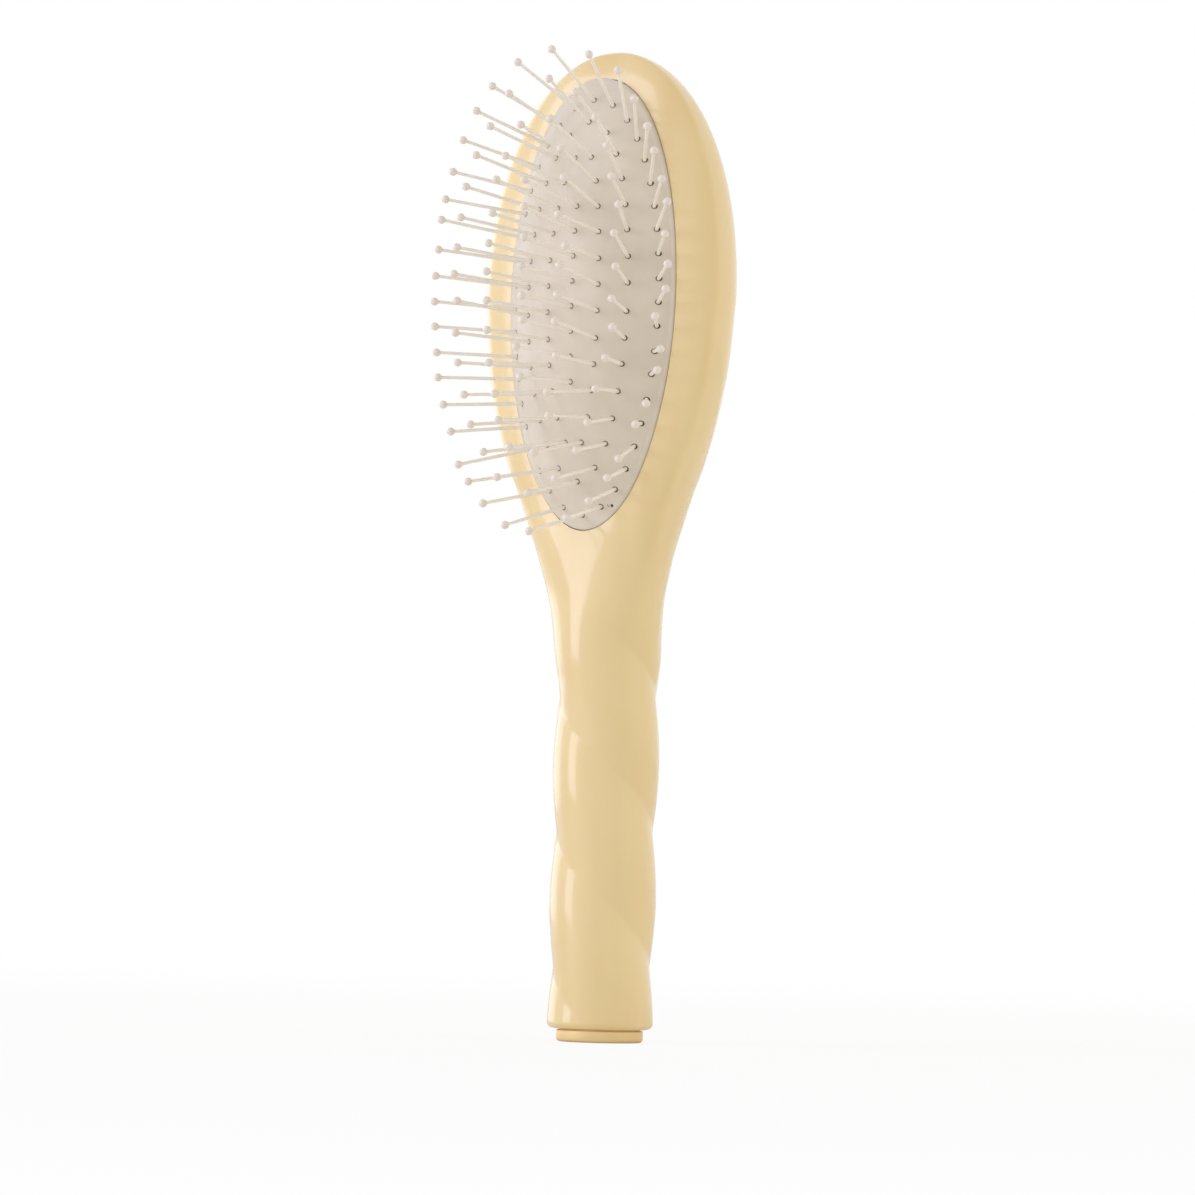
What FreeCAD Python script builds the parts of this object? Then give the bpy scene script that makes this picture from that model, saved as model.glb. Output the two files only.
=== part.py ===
import FreeCAD, Part
import math
import os

# Oval pneumatic detangling brush with a twisted handle, standing on its foot.
# +Z runs up the handle, -Y is the side of the pins, and the origin is the centre of the foot's bottom face.
# Lengths are in millimetres and angles in degrees. Names that end in share or shares are plain ratios.

# Body: overall height, and the head's widest section
overall_length = 225.0
head_centre_height = 168.6
head_half_width = 32.2
head_half_depth_front = 6.1
head_half_depth_back = 16.8
head_front_power = 4.0
head_back_power = 2.5
crown_width_power = 2.07
crown_depth_power = 2.3

# Plane of the cushion: where its centre lies, and how far the head leans back
pad_centre_height = 166.8
pad_centre_forward = 10.4
head_lean = 0.8

# Twisted handle: a round section with two lobes that turn as it rises
handle_radius = 10.75
neck_height = 82.0
round_power = 2.0
lobe_height = 1.3
crease_softness_share = 0.12
twist_pitch = 61.0
twist_end_height = 124.2
twist_fade_length = 20.0
lobe_fade_start = 84.0
lobe_fade_end = 106.0
handle_end_rounding = 1.5

# Foot: a turned disc with a spigot that is glued into the handle
foot_radius = 9.8
foot_height = 2.6
foot_chamfer_width = 0.8
foot_chamfer_height = 0.7
foot_neck_radius = 9.1
foot_neck_height = 0.3
spigot_radius = 4.0
spigot_length = 11.0
spigot_chamfer = 0.6
spigot_clearance = 0.03
spigot_end_clearance = 0.6

# Cushion: a domed rubber shell whose lip sits in a groove of the pocket
pad_half_width = 22.7
pad_half_length = 51.6
pad_egg_share = 0.04
dome_height = 7.9
dome_power = 2.5
skin_thickness = 1.5
wall_thickness = 2.0
pad_edge_drop = 0.45
pad_gap = 0.25
lip_depth = 2.4
lip_thickness = 1.9
lip_reach = 1.7
lip_clearance = 0.15
vent_radius = 0.4
vent_across_share = 0.339
vent_along_share = -0.897

# Pocket in the head, below the plane of the cushion
pocket_depth = 10.0

# Pins: a tapered stem with a ball tip outside the skin and a flange inside it
pin_length = 20.0
pin_root_radius = 0.44
pin_neck_radius = 0.34
pin_neck_drop = 0.8
ball_radius = 0.95
ball_band_share = 0.45
ball_end_share = 0.95
ball_end_radius_share = 0.35
pin_hole_clearance = 0.08
pin_hole_reach = 4.0
flange_radius = 1.25
flange_thickness = 0.6
flange_clearance = 0.2
pin_fan_top_share = 1.35
pin_fan_bottom_share = 0.85
pin_rise = 2.0

# Three rings of pins that follow the outline of the cushion, and a short line along its middle
# Shares of a ring: its width, its length, and how far its centre lies up the cushion
outer_ring_shares = (0.87, 0.915, -0.02)
outer_pin_count = 40
middle_ring_shares = (0.603, 0.793, 0.0)
middle_pin_count = 30
inner_ring_shares = (0.304, 0.663, 0.0)
inner_pin_count = 24
spine_pin_count = 8
spine_pitch_share = 0.1105
spine_centre_share = 0.023

# Which pins stand in one group, named from the top of the head and round by the left
outer_groups = [
    "top",
    "upper_left",
    "left",
    "lower_left",
    "bottom",
    "lower_right",
    "right",
    "upper_right",
]
middle_groups = ["top", "upper_left", "lower_left", "bottom", "lower_right", "upper_right"]
inner_groups = ["top", "left", "bottom", "right"]
spine_groups = ["upper", "lower"]

# Numbers of facets and steps
body_facet_count = 28
handle_step_count = 32
neck_step_count = 20
neck_step_growth_power = 1.2
outline_facet_count = 32
pin_facet_count = 6
ring_sample_count = 720
share_round_count = 6
least_share = 0.001
seat_step = 0.05

# One overrun for every cut
cut_overrun = 12.0

# Neck and head below its widest line: each value is a share of the way from the handle to the widest line
neck_shares = [
    # rise, width, front, back, forward shift, squareness
    (0.000, 0.000, 0.000, 0.00, 0.00, 0.00),
    (0.050, 0.010, 0.045, 0.09, 0.09, 0.00),
    (0.100, 0.024, 0.150, 0.25, 0.25, 0.00),
    (0.160, 0.070, 0.240, 0.37, 0.38, 0.01),
    (0.210, 0.130, 0.385, 0.48, 0.50, 0.04),
    (0.260, 0.190, 0.520, 0.59, 0.60, 0.14),
    (0.330, 0.267, 0.720, 0.77, 0.76, 0.31),
    (0.410, 0.373, 0.920, 0.95, 0.89, 0.64),
    (0.485, 0.492, 1.000, 0.99, 0.95, 0.82),
    (0.565, 0.638, 1.000, 1.00, 0.98, 0.96),
    (0.680, 0.797, 1.000, 1.00, 1.00, 1.00),
    (0.840, 0.938, 1.000, 1.00, 1.00, 1.00),
    (1.000, 1.000, 1.000, 1.00, 1.00, 1.00),
]
# Head above its widest line: latitudes of its sections, as on a globe
crown_latitudes = [0.0, 9.0, 18.0, 27.0, 36.0, 44.0, 51.0, 57.0, 63.0, 68.0, 73.0, 77.5, 81.5, 85.0, 88.0]
# Levels of the sections that round the handle's lower end, as shares of its rounding
end_rounding_shares = [0.0, 0.33, 0.67]
# Rings of the dome from its rim to its crown, as shares of the outline
dome_shares = [1.0, 0.94, 0.85, 0.73, 0.58, 0.4, 0.18]


def between(start, end, share):
    """The value a share of the way from start to end."""
    return start + (end - start) * share


def smooth_share(value, start, end):
    """0 before start, 1 after end, and a smooth rise between them."""
    share = min(1.0, max(0.0, (value - start) / (end - start)))
    return share * share * (3.0 - 2.0 * share)


def signed_power(value, power):
    return math.copysign(abs(value) ** power, value)


def rounded_share(rise_share, power):
    """Height of a rounded arch at a share of its half span: 1 in its middle and 0 at its end."""
    return (1.0 - rise_share**power) ** (1.0 / power)


def curve_slopes(places, values):
    """Slopes of a smooth curve through the values, flat wherever they turn back."""
    chords = [(b - a) / (q - p) for p, q, a, b in zip(places, places[1:], values, values[1:])]
    slopes = [chords[0]]
    for before, after in zip(chords, chords[1:]):
        slopes.append(2.0 * before * after / (before + after) if before * after > 0.0 else 0.0)
    return slopes + [chords[-1]]


def curve_value(places, values, place):
    """Value at a place on the smooth curve through the values."""
    slopes = curve_slopes(places, values)
    number = max(n for n in range(len(places) - 1) if places[n] <= place)
    width = places[number + 1] - places[number]
    share = (place - places[number]) / width
    step = share * share * (3.0 - 2.0 * share)
    leave = share * (1.0 - share) ** 2 * slopes[number] * width
    arrive = share * share * (share - 1.0) * slopes[number + 1] * width
    return between(values[number], values[number + 1], step) + leave + arrive


def closed_wire(points):
    return Part.makePolygon(points + points[:1])


def head_plane_forward(height):
    """How far the head's front plane lies in front of the handle's axis at a height."""
    return pad_centre_forward - (height - pad_centre_height) * math.tan(math.radians(head_lean))


def twist_angle(height):
    """Turn of the two lobes at a height; the twist dies away smoothly in the neck."""
    below_end = max(0.0, twist_end_height - height)
    if below_end < twist_fade_length:
        turned = below_end * below_end / (2.0 * twist_fade_length)
    else:
        turned = below_end - twist_fade_length / 2.0
    return 360.0 * turned / twist_pitch


def body_section(height, forward, half_width, front, back, squareness):
    """Outline of the body at one height. Its corners turn with the twist, so its edges follow the creases."""
    turn = math.radians(twist_angle(height))
    lobe_share = lobe_height / handle_radius * (1.0 - smooth_share(height, lobe_fade_start, lobe_fade_end))
    points = []
    for index in range(body_facet_count):
        from_crease = 2.0 * math.pi * index / body_facet_count
        angle = from_crease - turn
        in_front = math.sin(angle) > 0.0
        depth = front if in_front else back
        power = 2.0 / between(round_power, head_front_power if in_front else head_back_power, squareness)
        swell = 1.0 + lobe_share * math.hypot(math.sin(from_crease), crease_softness_share)
        across = half_width * signed_power(math.cos(angle), power) * swell
        out = depth * signed_power(math.sin(angle), power) * swell
        points.append(FreeCAD.Vector(across, -forward - out, height))
    return closed_wire(points)


def handle_sections():
    """Sections from the handle's rounded lower end to the neck."""
    bottom = foot_height + foot_neck_height
    sections = []
    for share in end_rounding_shares:
        inset = handle_end_rounding * (1.0 - math.sqrt(1.0 - (1.0 - share) ** 2))
        radius = handle_radius - inset
        height = bottom + handle_end_rounding * share
        sections.append(body_section(height, 0, radius, radius, radius, 0))
    for step in range(handle_step_count):
        height = between(bottom + handle_end_rounding, neck_height, step / handle_step_count)
        sections.append(body_section(height, 0, handle_radius, handle_radius, handle_radius, 0))
    return sections


def neck_sections():
    """Sections from the top of the handle to the head's widest line."""
    rises, *columns = zip(*neck_shares)
    sections = []
    for step in range(neck_step_count):
        rise = (step / neck_step_count) ** neck_step_growth_power
        width, front, back, shift, squareness = [curve_value(rises, column, rise) for column in columns]
        height = between(neck_height, head_centre_height, rise)
        sections.append(
            body_section(
                height,
                (head_plane_forward(height) - head_half_depth_front) * shift,
                between(handle_radius, head_half_width, width),
                between(handle_radius, head_half_depth_front, front),
                between(handle_radius, head_half_depth_back, back),
                squareness,
            )
        )
    return sections


def crown_sections():
    """Sections of the head's upper half, which rounds off to the top on all sides."""
    sections = []
    for latitude in crown_latitudes:
        rise_share = math.sin(math.radians(latitude))
        height = between(head_centre_height, overall_length, rise_share)
        sections.append(
            body_section(
                height,
                head_plane_forward(height) - head_half_depth_front,
                head_half_width * rounded_share(rise_share, crown_width_power),
                head_half_depth_front * rounded_share(rise_share, crown_depth_power),
                head_half_depth_back * rounded_share(rise_share, crown_depth_power),
                1,
            )
        )
    return sections


def head_placement():
    """Carries the cushion's own frame, X across, Y along the head and Z out of it, to its place."""
    centre = FreeCAD.Vector(0, -pad_centre_forward, pad_centre_height)
    return FreeCAD.Placement(centre, FreeCAD.Rotation(FreeCAD.Vector(1, 0, 0), 90.0 - head_lean))


def outline_point(half_width, half_length, angle):
    """A point of an oval that is a little wider towards the top of the head."""
    across = half_width * math.cos(angle) * (1.0 + pad_egg_share * math.sin(angle))
    return across, half_length * math.sin(angle)


def outline_ring(half_width, half_length, out):
    """Corners of the oval at one level of the cushion's frame."""
    ring = []
    for index in range(outline_facet_count):
        across, along = outline_point(half_width, half_length, 2.0 * math.pi * index / outline_facet_count)
        ring.append(FreeCAD.Vector(across, along, out))
    return ring


def outline_prism(grow, bottom, top):
    """The cushion's outline, grown by a length, between two levels of its own frame."""
    half_width = pad_half_width + grow
    half_length = pad_half_length + grow
    return faceted_solid([outline_ring(half_width, half_length, out) for out in (bottom, top)])


def dome_share(across, along, inset=0.0):
    """Where a point lies between the crown, at 0, and the rim, at 1. The inset is that of the inner face."""
    share = 1.0
    for _ in range(share_round_count):
        along_share = along / (pad_half_length - inset)
        width = (pad_half_width - inset) * (1.0 + pad_egg_share * along_share / max(share, least_share))
        share = math.hypot(across / width, along_share)
    return share


def dome_out(share, drop=0.0):
    """How far the dome stands out at a share of its outline. The drop is that of the inner face."""
    return (dome_height - drop + pad_edge_drop) * (1.0 - share**dome_power) - pad_edge_drop


def dome_solid(inset, drop, bottom):
    """The room under the dome, or under its inner face where it is inset and dropped."""
    half_width = pad_half_width - inset
    half_length = pad_half_length - inset
    rings = [outline_ring(half_width, half_length, bottom)]
    for share in dome_shares:
        rings.append(outline_ring(half_width * share, half_length * share, dome_out(share, drop)))
    return faceted_solid(rings)


def faceted_solid(rings):
    """A solid with flat faces through rings of corners, all with the same number of corners."""
    faces = [Part.Face(closed_wire(rings[0])), Part.Face(closed_wire(rings[-1]))]
    for low, high in zip(rings, rings[1:]):
        for side in range(len(low)):
            ahead = (side + 1) % len(low)
            faces.append(Part.Face(closed_wire([low[side], low[ahead], high[ahead], high[side]])))
    shell = Part.makeShell(faces)
    shell.sewShape()
    return Part.makeSolid(shell)


def turned_solid(profile, facets):
    """A turned form with flat sides, from the height and the radius of each of its rings."""
    rings = []
    for height, radius in profile:
        angles = [2.0 * math.pi * side / facets for side in range(facets)]
        rings.append([FreeCAD.Vector(radius * math.cos(a), radius * math.sin(a), height) for a in angles])
    return faceted_solid(rings)


def pin_placement(across, along):
    """Stands a pin on the dome. It fans out less towards the bottom, and all the pins point up a little."""
    share = dome_share(across, along)
    fan = between(pin_fan_bottom_share, pin_fan_top_share, (1.0 + along / pad_half_length) / 2.0)
    slope = (dome_height + pad_edge_drop) * dome_power * share ** (dome_power - 2.0) * fan
    rise = slope * along / pad_half_length**2 + math.tan(math.radians(pin_rise))
    direction = FreeCAD.Vector(slope * across / pad_half_width**2, rise, 1)
    rotation = FreeCAD.Rotation(FreeCAD.Vector(0, 0, 1), direction)
    return FreeCAD.Placement(FreeCAD.Vector(across, along, dome_out(share)), rotation)


def flange_seat(across, along):
    """How deep on its axis a pin's flange clears the skin's inner face all round."""
    placement = pin_placement(across, along)
    angles = [2.0 * math.pi * side / pin_facet_count for side in range(pin_facet_count)]
    corners = [(flange_radius * math.cos(angle), flange_radius * math.sin(angle)) for angle in angles]
    depth = skin_thickness
    while True:
        rim = [placement.multVec(FreeCAD.Vector(right, up, -depth)) for right, up in corners]
        if all(dome_out(dome_share(p.x, p.y, wall_thickness), skin_thickness) > p.z for p in rim):
            return depth + flange_clearance
        depth += seat_step


def ring_places(half_width, half_length, centre, count, start):
    """Places of pins evenly spaced round an oval, counted from its top and round by the left."""
    points = []
    for sample in range(ring_sample_count + 1):
        angle = math.radians(90.0 + 360.0 * sample / ring_sample_count)
        points.append(outline_point(half_width, half_length, angle))
    lengths = [0.0]
    for before, after in zip(points, points[1:]):
        lengths.append(lengths[-1] + math.dist(before, after))
    places = []
    for index in range(count):
        wanted = lengths[-1] * ((index + start) % count) / count
        sample = max(number for number, length in enumerate(lengths) if length <= wanted)
        across, along = points[sample]
        places.append((across, centre + along))
    return places


def grouped(prefix, names, places):
    size = len(places) // len(names)
    return {f"{prefix}_{name}": places[size * n : size * (n + 1)] for n, name in enumerate(names)}


def pin_groups():
    """Every group of pins: its name and the places of its pins on the dome."""
    groups = {}
    for prefix, names, shares, count in (
        ("outer_pins", outer_groups, outer_ring_shares, outer_pin_count),
        ("middle_pins", middle_groups, middle_ring_shares, middle_pin_count),
        ("inner_pins", inner_groups, inner_ring_shares, inner_pin_count),
    ):
        width_share, length_share, centre_share = shares
        start = count - (count // len(names) - 1) / 2.0
        half_width, half_length = pad_half_width * width_share, pad_half_length * length_share
        places = ring_places(half_width, half_length, pad_half_length * centre_share, count, start)
        groups.update(grouped(prefix, names, places))
    middle = (spine_pin_count - 1) / 2.0
    shares = [spine_centre_share + spine_pitch_share * (middle - index) for index in range(spine_pin_count)]
    spine = [(0, pad_half_length * share) for share in shares]
    groups.update(grouped("spine_pins", spine_groups, spine))
    return groups


def handle_body():
    """The head, neck and twisted handle in one piece, with the cushion's pocket and the foot's bore."""
    body = Part.makeLoft(handle_sections() + neck_sections() + crown_sections(), True, True)
    pocket = outline_prism(pad_gap, -pocket_depth, cut_overrun)
    groove_bottom = -lip_depth - lip_thickness - lip_clearance
    groove = outline_prism(lip_reach + lip_clearance, groove_bottom, -lip_depth + lip_clearance)
    hollow = pocket.fuse(groove)
    hollow.Placement = head_placement()
    face = foot_height + foot_neck_height
    bore = Part.makeCylinder(
        spigot_radius + spigot_clearance,
        spigot_length + spigot_end_clearance + cut_overrun,
        FreeCAD.Vector(0, 0, face - cut_overrun),
    )
    return body.cut([hollow, bore])


def cushion():
    """The rubber shell, with a hole for each pin and a vent."""
    bottom = -lip_depth - lip_thickness
    shell = dome_solid(0, 0, bottom).fuse(outline_prism(lip_reach, bottom, -lip_depth))
    shell = shell.cut(dome_solid(wall_thickness, skin_thickness, bottom - cut_overrun))
    radius = pin_root_radius + pin_hole_clearance
    holes = []
    for places in pin_groups().values():
        for across, along in places:
            hole = turned_solid([(-pin_hole_reach, radius), (pin_hole_reach, radius)], pin_facet_count)
            hole.Placement = pin_placement(across, along)
            holes.append(hole)
    vent = turned_solid([(-pin_hole_reach, vent_radius), (pin_hole_reach, vent_radius)], pin_facet_count)
    vent.Placement = pin_placement(pad_half_width * vent_across_share, pad_half_length * vent_along_share)
    shell = shell.cut(holes + [vent])
    shell.Placement = head_placement()
    return shell


def pins(places):
    """One group of equal pins, each a solid of its own that points outwards from its root in the skin."""
    seat = max(flange_seat(across, along) for across, along in places)
    ball_centre = pin_length - ball_radius
    profile = [
        (-seat - flange_thickness, flange_radius),
        (-seat, flange_radius),
        (-seat, pin_root_radius),
        (ball_centre - pin_neck_drop, pin_neck_radius),
        (ball_centre - ball_radius * ball_band_share, ball_radius),
        (ball_centre + ball_radius * ball_band_share, ball_radius),
        (ball_centre + ball_radius * ball_end_share, ball_radius * ball_end_radius_share),
    ]
    solids = []
    for across, along in places:
        pin = turned_solid(profile, pin_facet_count)
        pin.Placement = head_placement().multiply(pin_placement(across, along))
        solids.append(pin)
    return Part.makeCompound(solids)


def foot():
    """The turned foot: a chamfered disc, a narrow neck and the spigot."""
    face = foot_height + foot_neck_height
    top = face + spigot_length
    profile = [
        (0, 0),
        (foot_radius - foot_chamfer_width, 0),
        (foot_radius, foot_chamfer_height),
        (foot_radius, foot_height),
        (foot_neck_radius, foot_height),
        (foot_neck_radius, face),
        (spigot_radius, face),
        (spigot_radius, top - spigot_chamfer),
        (spigot_radius - spigot_chamfer, top),
        (0, top),
    ]
    outline = closed_wire([FreeCAD.Vector(radius, 0, height) for radius, height in profile])
    return Part.Face(outline).revolve(FreeCAD.Vector(0, 0, 0), FreeCAD.Vector(0, 0, 1), 360)


def main():
    os.makedirs("parts", exist_ok=True)
    parts = {"handle_body": handle_body(), "cushion": cushion(), "foot": foot()}
    for name, places in pin_groups().items():
        parts[name] = pins(places)
    for name, shape in parts.items():
        shape.exportStep(f"parts/{name}.step")


if __name__ == "__main__":
    main()
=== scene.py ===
"""Oval detangling brush with a twisted handle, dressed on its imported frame.

Lengths are in metres and angles in degrees where neither a name nor a docstring says otherwise.
"""

import logging
import math
import random
from dataclasses import dataclass
from enum import Enum

import bpy
from mathutils import Matrix, Quaternion, Vector

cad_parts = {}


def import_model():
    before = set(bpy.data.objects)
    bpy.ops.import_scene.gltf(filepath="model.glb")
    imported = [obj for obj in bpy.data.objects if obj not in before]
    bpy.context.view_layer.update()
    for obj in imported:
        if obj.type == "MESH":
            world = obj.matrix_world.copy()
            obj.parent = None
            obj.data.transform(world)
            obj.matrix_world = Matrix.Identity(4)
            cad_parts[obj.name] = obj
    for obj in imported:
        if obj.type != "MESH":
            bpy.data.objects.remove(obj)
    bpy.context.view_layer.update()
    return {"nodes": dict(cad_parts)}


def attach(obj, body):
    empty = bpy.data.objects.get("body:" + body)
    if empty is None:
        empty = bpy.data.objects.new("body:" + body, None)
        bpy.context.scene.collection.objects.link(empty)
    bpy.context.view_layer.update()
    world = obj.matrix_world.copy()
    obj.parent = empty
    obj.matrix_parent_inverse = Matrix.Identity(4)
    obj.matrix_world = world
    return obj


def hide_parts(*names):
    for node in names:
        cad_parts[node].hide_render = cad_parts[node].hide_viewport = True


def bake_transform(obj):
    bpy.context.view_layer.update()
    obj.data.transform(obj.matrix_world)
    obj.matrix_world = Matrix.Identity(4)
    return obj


Piece = bpy.types.Object
Material = bpy.types.Material
Socket = bpy.types.NodeSocket
Pair = tuple[float, float]
Triple = tuple[float, float, float]
Screen = tuple[int, int, int]
Colour = tuple[float, float, float, float]

LOG = logging.getLogger("brush")
MM = 0.001
FULL_TURN = 360.0
RIGHT_ANGLE = 90.0
ROUND_POWER = 2.0
FULL_CHANNEL = 255.0
MERGE_DISTANCE = 1e-6
THIN_DISTANCE = 1e-7
WHITE: Colour = (1.0, 1.0, 1.0, 1.0)


class Slot(Enum):
    """Material slots of the record, one for each finish of the pieces."""

    ACETATE = "acetate"
    RUBBER = "rubber"
    NYLON = "nylon"
    BRASS = "brass"


class Carrier(Enum):
    """Bodies of the frame that carry the larger pieces."""

    HANDLE = "handle"
    CUSHION = "cushion"


class MixSocket(Enum):
    """Sockets of a colour Mix node, which share their names with those of its other kinds."""

    FIRST = 6
    SECOND = 7
    RESULT = 2


class Operation(Enum):
    """Ways in which a Math node joins two values."""

    ADD = "ADD"
    MULTIPLY = "MULTIPLY"


class Glow(Enum):
    """Colours of the lamps' light."""

    WINDOW = (0.95, 1.0, 1.22)
    ROOM = (1.0, 0.975, 0.91)


def linear(red: int, green: int, blue: int) -> Colour:
    """Turns a colour as a screen shows it into the values that a shader takes, by the sRGB curve.

    Args:
        red: Red from 0 to 255.
        green: Green from 0 to 255.
        blue: Blue from 0 to 255.

    Returns:
        The linear colour with full alpha.
    """
    channels = [value / FULL_CHANNEL for value in (red, green, blue)]
    lifted = [c / 12.92 if c <= 0.04045 else ((c + 0.055) / 1.055) ** 2.4 for c in channels]
    return (*lifted, 1.0)


def between(start: float, end: float, share: float) -> float:
    """Gives the value a share of the way from start to end."""
    return start + (end - start) * share


def smooth_share(value: float, start: float, end: float) -> float:
    """Rises smoothly from 0 at start to 1 at end."""
    share = min(1.0, max(0.0, (value - start) / (end - start)))
    return share * share * (3.0 - 2.0 * share)


def signed_power(value: float, power: float) -> float:
    """Raises a value to a power and keeps its sign."""
    return math.copysign(abs(value) ** power, value)


class Bench:
    """The modelling operations that every piece is made with."""

    @staticmethod
    def clear_selection() -> None:
        """Deselects every object."""
        bpy.ops.object.select_all(action="DESELECT")

    @staticmethod
    def pick(piece: Piece) -> None:
        """Makes a piece the only selected and active one.

        Args:
            piece: The piece.
        """
        Bench.clear_selection()
        piece.select_set(True)
        bpy.context.view_layer.objects.active = piece

    @staticmethod
    def wrap(name: str, rows: list[list[Vector]]) -> Piece:
        """Wraps a grid round a form, row by row, and closes its seam and its ends.

        Args:
            name: Name of the piece.
            rows: Rings of points in metres, all of one length. A ring of equal points is a pole.

        Returns:
            The closed piece with its normals outwards.
        """
        Bench.clear_selection()
        around = len(rows[0])
        bpy.ops.mesh.primitive_grid_add(x_subdivisions=around, y_subdivisions=len(rows) - 1, size=1.0)
        piece = bpy.context.active_object
        piece.name = name
        piece.data.name = name
        flat: list[float] = []
        for row in rows:
            for point in (*row, row[0]):
                flat.extend(point)
        piece.data.vertices.foreach_set("co", flat)
        piece.data.update()
        bpy.ops.object.mode_set(mode="EDIT")
        bpy.ops.mesh.select_all(action="SELECT")
        bpy.ops.mesh.remove_doubles(threshold=MERGE_DISTANCE)
        bpy.ops.mesh.dissolve_degenerate(threshold=THIN_DISTANCE)
        bpy.ops.mesh.select_all(action="DESELECT")
        bpy.ops.mesh.select_non_manifold(
            extend=False, use_wire=False, use_multi_face=False, use_verts=False
        )
        bpy.ops.mesh.fill_holes(sides=0)
        bpy.ops.mesh.select_all(action="SELECT")
        bpy.ops.mesh.normals_make_consistent(inside=False)
        bpy.ops.object.mode_set(mode="OBJECT")
        return piece

    @staticmethod
    def ring(radius: float, height: float, sides: int) -> list[Vector]:
        """Gives a level ring of points round the Z axis."""
        angles = [2.0 * math.pi * side / sides for side in range(sides)]
        return [Vector((radius * math.cos(a), radius * math.sin(a), height)) for a in angles]

    @staticmethod
    def turned(name: str, profile: list[Pair], sides: int) -> Piece:
        """Wraps a round piece from the radius and the height in mm of each of its rings."""
        return Bench.wrap(name, [Bench.ring(r * MM, h * MM, sides) for r, h in profile])

    @staticmethod
    def cut(piece: Piece, cutter: Piece) -> None:
        """Cuts one piece out of another and removes the cutter.

        Args:
            piece: The piece that is cut.
            cutter: The piece that is taken out of it.
        """
        Bench.pick(piece)
        cut = piece.modifiers.new("pocket", "BOOLEAN")
        cut.operation = "DIFFERENCE"
        cut.solver = "EXACT"
        cut.object = cutter
        bpy.ops.object.modifier_apply(modifier=cut.name)
        bpy.data.objects.remove(cutter, do_unlink=True)

    @staticmethod
    def dress(piece: Piece, angle: float, material: Material, slot: Slot) -> None:
        """Smooths a piece and gives it its one material.

        Args:
            piece: The piece.
            angle: Angle past which an edge stays crisp.
            material: The piece's material.
            slot: The record's slot that the material stands for. Not used.
        """
        Bench.pick(piece)
        bpy.ops.object.shade_smooth_by_angle(angle=math.radians(angle))
        piece.data.materials.clear()
        piece.data.materials.append(material)


class Tree:
    """A node tree under construction."""

    def __init__(self, tree: bpy.types.NodeTree) -> None:
        """Takes the tree that the nodes go into."""
        self.nodes = tree.nodes
        self.links = tree.links

    def add(
        self, kind: str, values: dict[str, object] | None = None, **settings: object
    ) -> bpy.types.Node:
        """Adds a node.

        Args:
            kind: Blender's name of the node's type.
            values: Values of its inputs.
            **settings: Fields of the node.

        Returns:
            The new node.
        """
        node = self.nodes.new(kind)
        for key, value in settings.items():
            setattr(node, key, value)
        for key, value in (values or {}).items():
            node.inputs[key].default_value = value
        return node

    def link(self, source: Socket, target: Socket) -> None:
        """Joins two sockets."""
        self.links.new(source, target)

    def join(
        self, first: Socket, second: Socket, operation: Operation, clamped: bool = False
    ) -> Socket:
        """Joins two values into one.

        Args:
            first: Socket of the first value.
            second: Socket of the second value.
            operation: The way in which they are joined.
            clamped: Whether the result stays between 0 and 1.

        Returns:
            The result's socket.
        """
        node = self.add("ShaderNodeMath", operation=operation.value, use_clamp=clamped)
        self.link(first, node.inputs[0])
        self.link(second, node.inputs[1])
        return node.outputs[0]

    def blend(self, share: Socket, first: Socket, second: Socket, output: str) -> None:
        """Mixes two shaders into the tree's output.

        Args:
            share: Socket of the share of the second shader.
            first: Socket of the first shader.
            second: Socket of the second shader.
            output: Name of the output node.
        """
        mix = self.add("ShaderNodeMixShader")
        self.link(share, mix.inputs["Fac"])
        self.link(first, mix.inputs[1])
        self.link(second, mix.inputs[2])
        self.link(mix.outputs["Shader"], self.nodes[output].inputs["Surface"])


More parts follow.
